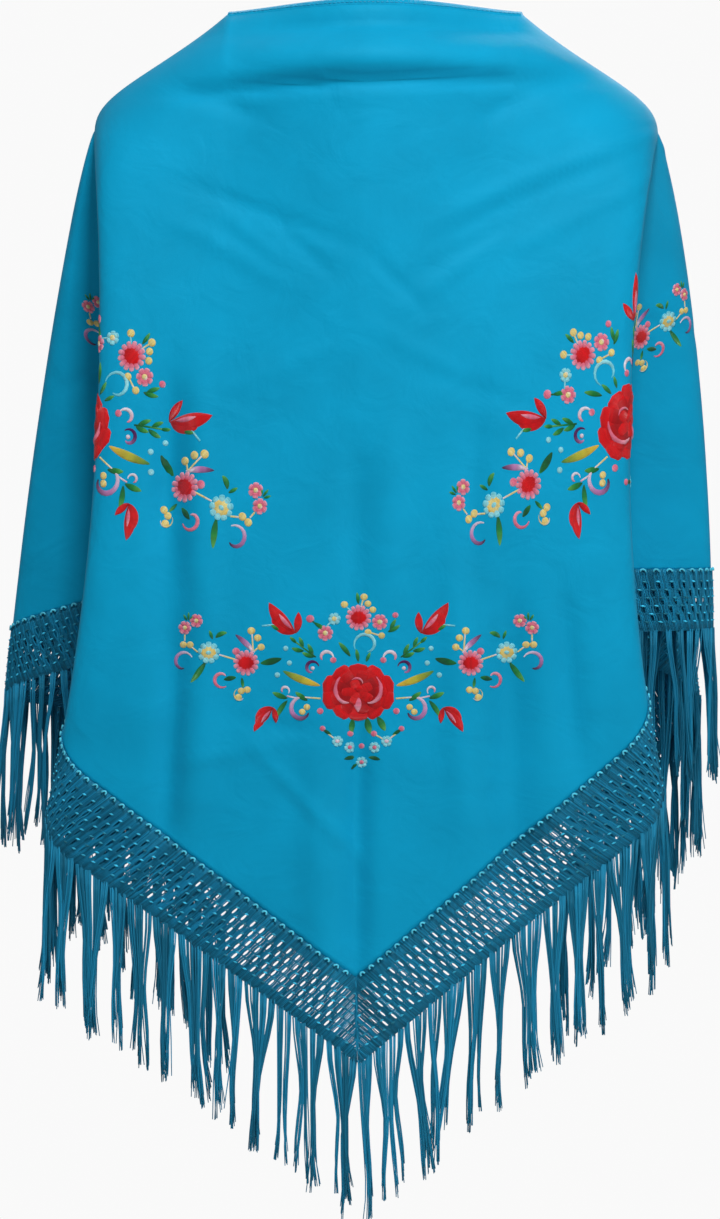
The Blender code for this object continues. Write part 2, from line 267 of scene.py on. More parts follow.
def column_girths(side, counts):
    """Girths of columns from the point to the front edge, with the shoulder's shared ones."""
    neck_count, ridge_count, side_count = counts
    angle = leg_angle(side)
    tip_across, tip_depth = tip_cut(side)
    ridge = np.linspace(0, 1, ridge_count + 1)
    neck = np.linspace(0, side.neck_cut, neck_count + 1)
    back = side.neck_cut + ridge * (tip_across - side.neck_cut)
    back = np.concatenate((neck[:-1], back)) / math.cos(angle)
    front = (CUT_DEPTH - ridge[::-1] * tip_depth) / math.sin(angle)
    fan = np.linspace(back[-1], front[0], side_count + 2)[1:-1]
    return np.concatenate((back, fan, front))


def grid_faces(columns, rows, flip=False):
    """Corner numbers of the quads of a grid of points stored column by column."""
    index = np.arange(columns * rows).reshape(columns, rows)
    corners = [index[:-1, :-1], index[:-1, 1:], index[1:, 1:], index[1:, :-1]]
    corners = corners[::-1] if flip else corners
    return np.stack([corner.ravel() for corner in corners], axis=1)


def add_object(name, data):
    """A new object in the scene, at the origin."""
    new = bpy.data.objects.new(name, data)
    bpy.context.scene.collection.objects.link(new)
    return new


def mesh_piece(name, points, faces, uv=None, colours=None):
    """A piece at the origin from whole arrays, with a UV map and a colour where given."""
    mesh = bpy.data.meshes.new(name)
    mesh.vertices.add(len(points))
    mesh.vertices.foreach_set("co", np.asarray(points, dtype=np.float32).ravel())
    mesh.loops.add(faces.size)
    mesh.loops.foreach_set("vertex_index", faces.astype(np.int32).ravel())
    mesh.polygons.add(len(faces))
    starts = np.arange(0, faces.size, faces.shape[1], dtype=np.int32)
    mesh.polygons.foreach_set("loop_start", starts)
    mesh.update(calc_edges=True)
    if uv is not None:
        layer = mesh.uv_layers.new(name="cut")
        layer.data.foreach_set("uv", np.asarray(uv, dtype=np.float32)[faces.ravel()].ravel())
    if colours is not None:
        layer = mesh.color_attributes.new("thread_colour", "FLOAT_COLOR", "POINT")
        rgba = np.ones((len(points), 4), dtype=np.float32)
        rgba[:, :3] = colours
        layer.data.foreach_set("color", rgba.ravel())
    mesh.validate()
    mesh.shade_smooth()
    piece = add_object(name, mesh)
    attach(piece, "root")
    return piece


def merge_near(piece, reach):
    """Merges points of a piece that lie within this reach of each other."""
    merged = bmesh.new()
    merged.from_mesh(piece.data)
    bmesh.ops.remove_doubles(merged, verts=merged.verts, dist=reach)
    merged.to_mesh(piece.data)
    merged.free()


def fill_inputs(tree, node, inputs):
    """Gives each named input its plain value, or links it to the output given for it."""
    for name, value in inputs.items():
        if isinstance(value, bpy.types.NodeSocket):
            tree.links.new(value, node.inputs[name])
        else:
            node.inputs[name].default_value = value


def add_node(tree, kind, inputs=None, **settings):
    """A new node of a kind, with its settings and then its inputs."""
    node = tree.nodes.new("ShaderNode" + kind)
    for name, value in settings.items():
        setattr(node, name, value)
    fill_inputs(tree, node, inputs or {})
    return node


def add_noise(tree, place, scale, detail, distortion=0.0):
    """Cloudy noise over a place's coordinates."""
    return add_node(tree, "TexNoise", {"Vector": place, "Scale": scale, "Detail": detail,
                                       "Distortion": distortion}).outputs["Fac"]


def add_bump(tree, height, strength, distance, **below):
    """A bump from a height, over the bump below it where one is given as Normal."""
    return add_node(tree, "Bump", {"Height": height, "Strength": strength, "Distance": distance,
                                   **below}).outputs["Normal"]


def new_finish(name, colour, inputs):
    """A new material, its node tree and its shader, with the values that are the same all over."""
    material = bpy.data.materials.new(name)
    material.use_nodes = True
    tree = material.node_tree
    shader = tree.nodes["Principled BSDF"]
    fill_inputs(tree, shader, {"Base Color": (*colour, 1), **inputs})
    return material, tree, shader


def crepe_finish():
    """Matt crepe: a fine crossed weave and a pebbled twist in the bump, soft sheen at the edges."""
    material, tree, shader = new_finish("blue_crepe", CLOTH_BLUE, {
        "Roughness": 0.52, "Sheen Weight": 0.05, "Sheen Roughness": 0.4,
        "Sheen Tint": (0.10, 0.75, 1.0, 1), "Specular IOR Level": 0.20,
        "Specular Tint": (0.20, 0.80, 1.0, 1)})
    cut = add_node(tree, "UVMap", uv_map="cut").outputs["UV"]
    weave = []
    for turn in (45, 135):
        aim = add_node(tree, "Mapping", {"Vector": cut, "Rotation": (0, 0, math.radians(turn))})
        weave.append(add_node(tree, "TexWave", {
            "Vector": aim.outputs["Vector"], "Scale": 420, "Distortion": 1.5, "Detail": 1}))
    cross = add_node(tree, "Math", {0: weave[0].outputs["Fac"], 1: weave[1].outputs["Fac"]},
                     operation="MULTIPLY")
    pebble = add_noise(tree, cut, 900, 3)
    grain = add_node(tree, "Math", {0: cross.outputs[0], 1: pebble}, operation="ADD")
    fine = add_bump(tree, grain.outputs[0], 0.35, 0.00025)
    ripple = add_bump(tree, add_noise(tree, cut, 26, 3, 0.8), 0.45, 0.003, Normal=fine)
    shade = add_node(tree, "ValToRGB", {"Fac": add_noise(tree, cut, 14, 4)})
    for stop, position, tone in zip(shade.color_ramp.elements, (0.30, 0.72), (0.90, 1.05)):
        stop.position = position
        stop.color = (*[channel * tone for channel in CLOTH_BLUE], 1)
    fill_inputs(tree, shader, {"Base Color": shade.outputs["Color"], "Normal": ripple})
    return material


def make_cloth():
    """The sheet: columns of both sides end to end, sewn together along the shoulders."""
    rows = np.linspace(0, 1, CLOTH_ROWS + 1) ** ROW_CROWDING
    halves = []
    cuts = []
    for side in (LEFT, RIGHT):
        girths = column_girths(side, CLOTH_COLUMNS)
        girth, row = np.meshgrid(girths, rows, indexing="ij")
        down = row * column_drop(side, girth)
        step = slice(None, 0, -1) if side is LEFT else slice(None)
        halves.append(worn(side, girth, down)[step])
        cuts.append(cut_place(side, girth, down)[step])
    grid = np.concatenate(halves)
    cut = np.concatenate(cuts)
    faces = grid_faces(grid.shape[0], grid.shape[1])
    return mesh_piece("cloth", grid.reshape(-1, 3), faces, uv=cut.reshape(-1, 2))


cloth = make_cloth()
cloth.data.materials.append(crepe_finish())
merge_near(cloth, SEWN_REACH)
wall = cloth.modifiers.new("wall", "SOLIDIFY")
wall.thickness = CLOTH_WALL
wall.offset = -1
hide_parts("shawl_cloth")


# The hem. The long edge is turned in twice, 6 mm deep, and sewn down with one line of straight
# stitches. It makes a slightly raised, stiffer edge round the neck and down both fronts.
HEM_DEPTH = 0.0060
HEM_RISE = 0.0011
HEM_SINK = 0.0002
HEM_COLUMNS = (70, 170)
HEM_ROWS = 7
CORNER_GAP = 0.001
TOP_GAP = 1e-4
STITCH_LINE = 0.0048
STITCH_GAP = 0.0033
STITCH_LENGTH = 0.0024
HEM_THREAD = 0.00042
END_REACH = 1e-7


def edge_place(side, run, inwards):
    """Girth and height of places along the long edge: round the neck, then down the front.

    Run goes from 0 at the nape to 1 at the neck point, and on to 2 at the front's end.
    """
    reach = leg_length(side)
    neck = side.neck_cut / math.cos(leg_angle(side))
    front = np.clip(run - 1, 0, 1) * column_drop(side, np.array([reach]))
    girth = np.where(run < 1, run * neck, reach - inwards)
    return girth, np.where(run < 1, inwards, np.maximum(front, TOP_GAP))


def make_hem(side):
    """The turned edge, risen by the hem's height x square root of (1 - (2 share - 1)^6)."""
    run = np.concatenate((np.linspace(0, 1 - CORNER_GAP, HEM_COLUMNS[0]),
                          np.linspace(1 + CORNER_GAP, 2, HEM_COLUMNS[1])))
    run, share = np.meshgrid(run, np.linspace(0, 1, HEM_ROWS), indexing="ij")
    girth, down = edge_place(side, run, share * HEM_DEPTH)
    rise = HEM_RISE * np.sqrt(np.clip(1 - (2 * share - 1) ** 6, 0, 1)) - HEM_SINK
    points = worn(side, girth, down, rise)
    faces = grid_faces(*run.shape, flip=side is LEFT)
    uv = np.stack([run * 0.5, share * HEM_DEPTH], axis=-1)
    piece = mesh_piece("hem_" + side.name, points.reshape(-1, 3), faces,
                       uv=uv.reshape(-1, 2))
    piece.data.materials.append(cloth.data.materials[0])
    return piece


def tube_points(paths, radius, sides):
    """Rings of points round each path: path + radius x (cos turn, sin turn) in its own frame.

    The ends are repeated, where the tangent is nothing, so a last ring there is a single place.
    """
    radius = np.broadcast_to(np.asarray(radius, dtype=float), paths.shape[:2])
    radius = np.pad(radius, ((0, 0), (1, 1)), mode="edge")
    paths = np.pad(paths, ((0, 0), (1, 1), (0, 0)), mode="edge")
    tangent = unit(np.gradient(paths, axis=1))
    first = unit(np.cross(tangent, np.broadcast_to((0.3, 1.0, 0.0), tangent.shape)))
    second = np.cross(tangent, first)
    turn = np.linspace(0, 2 * math.pi, sides, endpoint=False)
    ring = (first[:, :, None] * np.cos(turn)[:, None] + second[:, :, None] * np.sin(turn)[:, None])
    return paths[:, :, None] + ring * radius[:, :, None, None]


def tube_faces(count, rings, sides, first=0):
    """Quads of many like tubes, stored one after the other, ring by ring."""
    tube = np.arange(count)[:, None, None] * rings * sides
    ring = np.arange(rings - 1)[:, None] * sides
    side = np.arange(sides)
    after = (side + 1) % sides
    base = first + tube + ring
    corners = [base + side, base + after, base + sides + after, base + sides + side]
    return np.stack([corner.ravel() for corner in corners], axis=1)


def make_hem_stitches():
    """The line of stitches: short tubes of thread at even steps, half sunk in the hem."""
    tubes = []
    for side in (LEFT, RIGHT):
        for number, length in enumerate((side.neck_cut, side.cut - side.neck_cut)):
            count = int(length / STITCH_GAP)
            home = (np.arange(count) + 0.5) / count
            step = np.linspace(-0.5, 0.5, 4) * STITCH_LENGTH / length
            run = np.clip(home[:, None] + step, CORNER_GAP, 1 - CORNER_GAP) + number
            girth, down = edge_place(side, run, STITCH_LINE)
            tubes.append(tube_points(worn(side, girth, down, HEM_RISE), HEM_THREAD, 4))
    tubes = np.concatenate(tubes)
    piece = mesh_piece("hem_stitches", tubes.reshape(-1, 3), tube_faces(*tubes.shape[:3]))
    merge_near(piece, END_REACH)
    piece.data.materials.append(new_finish("hem_thread", CLOTH_BLUE, {"Roughness": 0.4})[0])
    return piece


hems = [make_hem(side) for side in (LEFT, RIGHT)] + [make_hem_stitches()]


# The embroidery. Three sprays worked through the cloth in glossy floss, one over the point and
# one behind each shoulder, turned towards it. Each petal, leaf, scroll and berry is a raised pad
# of close satin stitches. Places are in millimetres from the rose's middle, right and up.
STEPS_ALONG = 13
STEPS_ACROSS = 7
FLOSS_TONES = (0.86, 1.12)
STITCH_PITCH = 0.45
PAD_HEIGHT = 1.0
PAD_SINK = 0.3
LEAF_TIP = 0.05
ROUND_TIP = 0.03
HOOK_WIND = 0.35
HOOK_THIN = 0.30
STEM_HALF = 0.70
STEM_BASE = -0.3
ARM_START = 70
GIRTH_STEPS = 700
RUN = np.linspace(0, 1, STEPS_ALONG)
LEVELS = np.linspace(-0.72, -0.07, 131)
ROUNDS = np.linspace(0, 0.60, 301)


def floss(red, green, blue):
    """A floss colour from its screen values, as light: each share of 255 to the power 2.2."""
    return (np.array([red, green, blue]) / 255) ** 2.2


RED = floss(226, 12, 24)
DEEP_RED = floss(176, 4, 22)
PINK = floss(240, 118, 146)
PALE_PINK = floss(250, 178, 196)
WHITE = floss(244, 234, 246)
LILAC = floss(196, 132, 190)
PURPLE = floss(84, 22, 92)
DARK_PURPLE = floss(44, 8, 58)
YELLOW = floss(250, 200, 72)
LEAF_GOLD = floss(196, 190, 64)
CREAM = floss(248, 228, 150)
GREEN = floss(28, 134, 62)
DEEP_GREEN = floss(10, 92, 52)
LIGHT_GREEN = floss(104, 186, 84)
SKY = floss(96, 214, 236)
PALE_SKY = floss(160, 236, 246)
FLOSSES = {
    "red": (DEEP_RED, RED, RED),
    "deep_red": (DEEP_RED, DEEP_RED, RED),
    "bright_red": (RED, RED, RED),
    "red_and_pink": (RED, PINK, RED),
    "pink": (PINK, PINK, PALE_PINK),
    "pink_rim": (RED, PINK, PALE_PINK),
    "pale_pink": (PALE_PINK, WHITE, PALE_PINK),
    "white_to_pink": (WHITE, WHITE, PINK),
    "white_to_purple": (WHITE, LILAC, DARK_PURPLE),
    "purple": (PURPLE, PURPLE, LILAC),
    "yellow": (YELLOW, CREAM, YELLOW),
    "cream": (CREAM, CREAM, WHITE),
    "green": (DEEP_GREEN, GREEN, LIGHT_GREEN),
    "deep_green": (GREEN, DEEP_GREEN, DEEP_GREEN),
    "yellow_and_green": (YELLOW, LEAF_GOLD, GREEN),
    "sky": (SKY, PALE_SKY, SKY),
}

# Leaves and other pointed pads, from their foot: heading in degrees from the right, and by how
# many degrees the heading turns along the leaf. Those marked both are worked again mirrored.
Leaf = namedtuple("Leaf", "right up turn length width bend hue both", defaults=(False,))
LEAVES = [Leaf(*row) for row in (
    (35, 28, 22, 11, 3.8, 20, "green", True),
    (36, 29, 64, 11, 3.6, -15, "green", True),
    (43, 33, 14, 11, 3.8, 25, "green", True),
    (44, 35, 68, 10, 3.4, -20, "green", True),
    (49, 39, 42, 8, 3.0, 0, "green", True),
    (60, 49, 28, 12, 3.8, 15, "green", True),
    (29, 5, 22, 35, 6.4, 16, "yellow_and_green", True),
    (40, -7, 36, 13, 4.4, 10, "green", True),
    (56, -5, 22, 14, 4.6, 12, "green", True),
    (56, -6, -57, 18, 4.4, -20, "green", True),
    (79, 23, 167, 19, 5.8, -12, "deep_green", True),
    (114, 43, 158, 11, 4.2, 60, "green", True),
    (116, 42, 70, 8, 2.8, 0, "green", True),
    (137, 57, 58, 6, 2.0, 0, "green", True),
    (136, 57, 92, 7, 2.0, 0, "green", True),
    (135, 57, 126, 5, 1.8, 0, "green", True),
    (121, 25, -53, 22, 5.2, 10, "green", True),
    (97, 12, -10, 11, 4.2, 0, "deep_green", True),
    (93, 12, -97, 9, 2.8, 0, "green", True),
    (82, 31, 42, 23, 4.6, -12, "white_to_purple", True),
    (84, 31, 60, 10, 2.6, -10, "pale_pink", True),
    (-6, 28, 130, 16, 4.2, 10, "green"),
    (0, 24, 100, 11, 3.4, 10, "green"),
    (6, 24, 66, 9, 3.0, 0, "green"),
    (23, 48, 30, 12, 3.6, 20, "green"),
    (25, 49, 62, 11, 3.4, -10, "green"),
    (-36, 56, -30, 12, 3.4, 10, "green"),
    (0, 70, 98, 10, 3.2, 10, "green"),
    (7, -20, -78, 14, 6.0, 10, "green"),
    (15, -19, -62, 14, 6.0, -10, "green"),
    (-4, -20, -98, 14, 5.8, 0, "green"),
    (27, -34, 32, 9, 3.0, 10, "deep_green"),
    (-21, -34, 148, 9, 3.0, -10, "deep_green"),
    (-2, -52, 190, 10, 3.4, 20, "deep_green"),
    (8, -52, -12, 10, 3.4, -20, "deep_green"),
    (0, -57, 215, 8, 2.8, 0, "deep_green"),
)]

# Scrolls, round their middle: where they start, how far they sweep, and their widest width.
Scroll = namedtuple(
    "Scroll", "right up radius start sweep width hue both", defaults=(False,))
SCROLLS = [Scroll(*row) for row in (
    (25.5, 27, 5.6, 188, -205, 3.0, "white_to_pink", True),
    (36.5, 19.4, 5.2, 165, -250, 3.0, "purple", True),
    (44.5, -13, 9.3, 105, -250, 4.0, "white_to_purple", True),
    (58.5, 1, 3.4, 215, -240, 2.2, "white_to_pink", True),
    (139.5, 24, 7.8, 150, -240, 3.2, "white_to_purple", True),
    (108.5, 10, 6.2, -120, 250, 3.0, "pink", True),
    (94, -2, 5.2, 60, -190, 1.2, "cream", True),
    (5.4, 37.8, 8.8, 205, -275, 3.0, "sky"),
)]

# Small round pads.
Berry = namedtuple("Berry", "right up width hue both", defaults=(False,))
BERRIES = [Berry(*row) for row in (
    (20, 25.7, 5.0, "pink", True),
    (36.4, 19.2, 3.2, "white_to_pink", True),
    (30.4, -15, 5.2, "pink", True),
    (58, 35, 4.2, "sky", True),
    (55, 23.4, 4.2, "sky", True),
    (64.6, 13.8, 4.4, "sky", True),
    (41, -11.8, 5.2, "yellow", True),
    (44.7, -15.6, 5.2, "yellow", True),
    (85.5, 49, 6.2, "yellow", True),
    (80.4, 43.4, 5.8, "yellow", True),
    (77.6, 36, 5.8, "yellow", True),
    (134.4, 37.8, 5.8, "yellow", True),
    (140.2, 37.9, 5.8, "yellow", True),
    (88.6, 2, 5.6, "yellow", True),
    (93.4, 1, 5.6, "yellow", True),
    (95.7, -4, 5.6, "yellow", True),
    (97.6, 32.6, 6.0, "pink", True),
    (4.4, 76, 5.8, "yellow"),
    (7.4, 70.6, 5.4, "yellow"),
    (11.4, 65.8, 5.4, "yellow"),
    (-11.4, 70, 5.8, "yellow"),
    (7.7, 47.9, 5.4, "yellow"),
    (18.5, 45.2, 5.4, "yellow"),
    (29.4, 61.5, 4.8, "pink"),
    (-38.6, 58.6, 6.4, "pink"),
    (3, -43, 4.4, "pink"),
    (34.5, -29, 4.6, "pink"),
    (-28.5, -29, 4.6, "pink"),
    (12.6, -33, 4.8, "pink"),
    (-6.6, -33, 4.8, "pink"),
)]

# Open flowers: a ring of petals round a core, with the core's share of the width.
Flower = namedtuple(
    "Flower", "right up width petals core rim_hue core_hue both", defaults=(False,))
FLOWERS = [Flower(*row) for row in (
    (89.6, 23.4, 21, 13, 0.62, "pink_rim", "red", True),
    (119.2, 31.6, 18, 9, 0.66, "sky", "yellow", True),
    (129.4, 57, 11, 6, 0.34, "pink", "cream", True),
    (139, 51.4, 11, 6, 0.34, "pink", "cream", True),
    (0, 59.5, 21, 13, 0.62, "pink_rim", "red"),
    (17, 56, 12.8, 7, 0.34, "pink", "cream"),
    (-26.4, 47.2, 12.6, 7, 0.34, "pink", "cream"),
    (-19.2, 58.6, 10, 6, 0.46, "sky", "cream"),
    (-7, -44, 9, 6, 0.40, "sky", "pink"),
    (13, -44, 9, 6, 0.40, "sky", "pink"),
    (22.6, -39, 9, 6, 0.40, "sky", "pale_pink"),
    (-16.6, -39, 9, 6, 0.40, "sky", "pale_pink"),
    (3, -56, 9, 6, 0.40, "sky", "pink"),
)]

# Half-open red buds, from their foot, and thin straight stems.
Bud = namedtuple("Bud", "right up turn length both")
BUDS = [Bud(*row) for row in (
    (50, 47, 50, 33, True),
    (68, -12, -53, 25, True),
)]
# A bud's pads, in shares of its length and degrees from its heading: low, body, ear and heart.
BudPart = namedtuple("BudPart", "foot turn length width bend hue base")
BUD_PARTS = (
    BudPart(0, -18, 0.70, 0.30, 30, "red", 0.1),
    BudPart(0, 0, 1, 0.34, 30, "red", 0.4),
    BudPart(0, 46, 0.52, 0.20, -20, "red", 0.5),
    BudPart(0.14, 0, 0.50, 0.13, 20, "pink", 1.0),
)
Stem = namedtuple("Stem", "right up to_right to_up hue both", defaults=(False,))
STEMS = [Stem(*row) for row in (
    (30, -5, 43, -4, "cream", True),
    (98, 26, 111, 30, "cream", True),
    (48, -5, 57, -3, "pale_pink", True),
    (84, 33, 85, 47, "cream", True),
    (83, 33, 78, 37, "cream", True),
    (128, 32, 133, 36, "cream", True),
    (139, 46, 139, 41, "cream", True),
    (66, 54, 77, 53, "sky", True),
    (34, 28, 50, 40, "green", True),
    (8, 48, 18, 45, "cream"),
    (4, 75, 2, 68, "cream"),
    (-11, 69, -6, 65, "sky"),
    (-26, 52, -21, 57, "sky"),
    (12, -33, 21, -38, "cream"),
    (34, -30, 25, -37, "cream"),
    (-28, -30, -19, -37, "cream"),
    (-37, 57, -29, 50, "green"),
)]

# The rose, ring by ring: its petals lie over each other, from the outside in.
Petals = namedtuple("Petals", "count turn inner outer width base hue")
ROSE_WIDTH = 60
ROSE_HEIGHT = 46
ROSE_RINGS = [Petals(*row) for row in (
    (10, 18, 0.20, 1.00, 17.0, 0.3, "red"),
    (9, 0, 0.10, 0.78, 13.0, 0.9, "deep_red"),
    (5, 36, 0.00, 0.46, 11.0, 1.5, "bright_red"),
)]
ROSE_STROKES = [Scroll(*row) for row in (
    (-1, 1, 17.5, 140, 95, 4.6, "pink"),
    (1, 1, 17.5, 40, -95, 4.6, "pink"),
    (0, 2, 9.5, 125, -70, 2.4, "pink"),
)]
ROSE_HEART = Leaf(0, -3, -90, 13, 8.0, 0, "pink")

Strip = namedtuple("Strip", "path half base hue")


def bent_path(right, up, turn, length, bend):
    """A steady bend: the running sum of equal steps whose heading turns evenly."""
    heading = np.radians(turn + bend * (RUN[:-1] - 0.5))
    steps = np.stack([np.cos(heading), np.sin(heading)], axis=1) * length / (STEPS_ALONG - 1)
    return np.concatenate(([[0.0, 0.0]], np.cumsum(steps, axis=0))) + (right, up)


def leaf_pad(leaf, base=0.0):
    """A pointed pad: half width = half the width times a sine to the power 0.8."""
    path = bent_path(leaf.right, leaf.up, leaf.turn, leaf.length, leaf.bend)
    half = leaf.width / 2 * np.sin(math.pi * RUN) ** 0.8
    return Strip(path, half + LEAF_TIP, base, leaf.hue)


def scroll_pad(scroll, base=0.0):
    """A hook: part of a circle that winds in by a third, thick in its second half."""
    turn = np.radians(scroll.start + scroll.sweep * RUN)
    radius = scroll.radius * (1 - HOOK_WIND * RUN ** 3)
    path = np.stack([np.cos(turn), np.sin(turn)], axis=1) * radius[:, None]
    fat = HOOK_THIN + (1 - HOOK_THIN) * np.sin(math.pi * RUN ** 1.2) ** 0.8
    return Strip(path + (scroll.right, scroll.up), scroll.width / 2 * fat, base, scroll.hue)


def berry_pad(right, up, width, hue, base=0.2):
    """A round pad: half width = a half circle along its own width."""
    spread = -np.cos(math.pi * RUN)
    path = np.stack([right + spread * width / 2, np.full(STEPS_ALONG, up)], axis=1)
    return Strip(path, width / 2 * np.sqrt(1 - spread ** 2) + ROUND_TIP, base, hue)


def petal_ring(right, up, wide, high, petals, base_step=0.0):
    """Blunt petals on an ellipse: half width = half the width times a rounded rise."""
    strips = []
    for number in range(petals.count):
        angle = math.radians(petals.turn + 360 * number / petals.count)
        reach = np.array([math.cos(angle) * wide / 2, math.sin(angle) * high / 2])
        share = petals.inner + (petals.outer - petals.inner) * RUN
        path = np.array([right, up]) + share[:, None] * reach
        half = petals.width / 2 * np.sqrt(np.clip(1 - (2 * RUN ** 1.4 - 1) ** 4, 0, 1))
        rise = petals.base + base_step * (number % 2)
        strips.append(Strip(path, half + ROUND_TIP, rise, petals.hue))
    return strips


def flower_pads(flower):
    """A ring of narrow petals with a round core over their inner ends."""
    wide = 2.4 * math.pi * flower.width / 2 / flower.petals * 0.62
    ring = Petals(flower.petals, 10, 0.25, 1.0, wide, 0.0, flower.rim_hue)
    core = berry_pad(flower.right, flower.up, flower.width * flower.core, flower.core_hue, 0.5)
    strips = petal_ring(flower.right, flower.up, flower.width, flower.width, ring, 0.15) + [core]
    if flower.rim_hue == "sky" and flower.core_hue == "yellow":
        strips.append(berry_pad(flower.right, flower.up, flower.width * 0.24, "sky", 1.2))
    return strips


def bud_pads(bud):
    """A bud: the pads of its table, in shares of its length, turned over where it hangs."""
    way = 1 if bud.turn > 0 else -1
    heading = math.radians(bud.turn)
    strips = []
    for part in BUD_PARTS:
        foot = bud.length * part.foot
        leaf = Leaf(bud.right + foot * math.cos(heading), bud.up + foot * math.sin(heading),
                    bud.turn + part.turn * way, bud.length * part.length,
                    bud.length * part.width, part.bend * way, part.hue)
        strips.append(leaf_pad(leaf, part.base))
    return strips


def stem_pad(stem):
    """A thin straight line of thread."""
    way = np.array([stem.to_right - stem.right, stem.to_up - stem.up])
    path = np.array([stem.right, stem.up]) + RUN[:, None] * way
    return Strip(path, np.full(STEPS_ALONG, STEM_HALF), STEM_BASE, stem.hue)


def mirrored(strips):
    """The same pads on the other side of the spray's middle line."""
    return [strip._replace(path=strip.path * (-1, 1)) for strip in strips]


def spray_pads():
    """Every pad of one spray, in its own millimetres."""
    groups = [(row, stem_pad(row)) for row in STEMS] + [(row, leaf_pad(row)) for row in LEAVES]
    groups += [(row, scroll_pad(row, 0.1)) for row in SCROLLS]
    groups += [(row, berry_pad(row.right, row.up, row.width, row.hue)) for row in BERRIES]
    groups = [(row, [pad]) for row, pad in groups]
    groups += [(row, flower_pads(row)) for row in FLOWERS] + [(row, bud_pads(row)) for row in BUDS]
    strips = []
    for row, pads in groups:
        strips += pads + (mirrored(pads) if row.both else [])
    for ring in ROSE_RINGS:
        strips += petal_ring(0, 0, ROSE_WIDTH, ROSE_HEIGHT, ring, 0.25)
    strips += [scroll_pad(stroke, 1.7) for stroke in ROSE_STROKES]
    return strips + [leaf_pad(ROSE_HEART, 2.0), berry_pad(0, 3, 7, "red", 2.0)]


def hang_table(side):
    """Girth of the cloth by height and by distance round the figure from the point's line.

    The distance is measured along the cloth at one height: the running sum of short chords.
    """
    girths = np.linspace(0, leg_length(side), GIRTH_STEPS)
    girth, level = np.meshgrid(girths, LEVELS)
    line = smooth_drape(side, girth, column_starts(side, girth)[2] - level)[..., :2]
    chords = np.linalg.norm(np.diff(line, axis=1), axis=2)
    runs = np.cumsum(np.pad(chords, ((0, 0), (1, 0))), axis=1)
    return np.stack([np.interp(ROUNDS, run, girths) for run in runs])


def on_cloth(around, level, lift):
    """Points on the cloth from the distance round the figure, the height and the lift off it."""
    points = np.zeros(around.shape + (3,))
    for side in (LEFT, RIGHT):
        table = hang_table(side)
        here = around * side.sign >= 0
        row = np.interp(level[here], LEVELS, np.arange(len(LEVELS)))
        column = np.interp(np.abs(around[here]), ROUNDS, np.arange(len(ROUNDS)))
        first = np.minimum(row.astype(int), len(LEVELS) - 2)
        second = np.minimum(column.astype(int), len(ROUNDS) - 2)
        row, column = row - first, column - second
        near = table[first, second] * (1 - column) + table[first, second + 1] * column
        far = table[first + 1, second] * (1 - column) + table[first + 1, second + 1] * column
        girth = near * (1 - row) + far * row
        down = column_starts(side, girth)[2] - level[here]
        points[here] = worn(side, girth, down, lift[here])
    return points


def stitched_grid(strips, place):
    """Grids of points for the pads of one spray, and where each lies along and across its pad.

    A pad's point = its path + its left side x half width x t, with t from -1 to 1. It stands
    off the cloth by a dome, (base + height) x square root of (1 - t^2).
    """
    path = np.stack([strip.path for strip in strips])
    half = np.stack([strip.half for strip in strips])
    base = np.array([strip.base for strip in strips])[:, None, None]
    along = unit(np.gradient(path, axis=1))
    left = np.stack([-along[..., 1], along[..., 0]], axis=-1)
    across = -np.cos(np.linspace(0, math.pi, STEPS_ACROSS))
    local = path[:, :, None] + left[:, :, None] * (half[:, :, None] * across)[..., None]
    fat = (half / half.max(axis=1, keepdims=True))[:, :, None] ** 0.6
    lift = (base + PAD_HEIGHT * fat) * np.sqrt(1 - across ** 2) - PAD_SINK
    turn = math.radians(place.turn)
    right = local[..., 0] - place.from_right
    up = local[..., 1] - place.from_up
    around = place.around + place.stretch_around * (right * math.cos(turn) - up * math.sin(turn))
    level = place.level + place.stretch_up * (right * math.sin(turn) + up * math.cos(turn))
    points = on_cloth(around / 1000, level / 1000, lift / 1000)
    stitch = np.cumsum(np.linalg.norm(np.gradient(path, axis=1), axis=2), axis=1)
    uv = np.stack(np.broadcast_arrays(stitch[:, :, None], half[:, :, None] * across), axis=-1)
    return points, uv


def floss_finish():
    """Satin stitch: its own colour, a thread's ridges across the pad in the bump and painted into
    the colour as painted shade in the grooves and painted highlight on the ridges, and a silky
    shine.
    """
    material, tree, shader = new_finish("floss", RED, {
        "Roughness": 0.36, "Sheen Weight": 0.04, "Specular IOR Level": 0.40})
    tint = add_node(tree, "Attribute", attribute_name="thread_colour")
    place = add_node(tree, "UVMap", uv_map="cut")
    ridge = add_node(tree, "TexWave", {
        "Vector": place.outputs["UV"], "Scale": 2 * math.pi / 20 / STITCH_PITCH,
        "Distortion": 0.6}, bands_direction="X")
    # The ridge wave scales the floss colour from 0.68 to 1.14: painted shade in the grooves between
    # stitches, painted highlight on their ridges.
    shade = add_node(tree, "MapRange", {
        "Value": ridge.outputs["Fac"], "To Min": 0.68, "To Max": 1.14})
    ridge_painted_shade_colour = add_node(tree, "VectorMath", {
        0: tint.outputs["Color"], "Scale": shade.outputs["Result"]}, operation="SCALE")
    fill_inputs(tree, shader, {
        "Base Color": ridge_painted_shade_colour.outputs["Vector"],
        "Normal": add_bump(tree, ridge.outputs["Fac"], 0.7, 0.0004)})
    return material


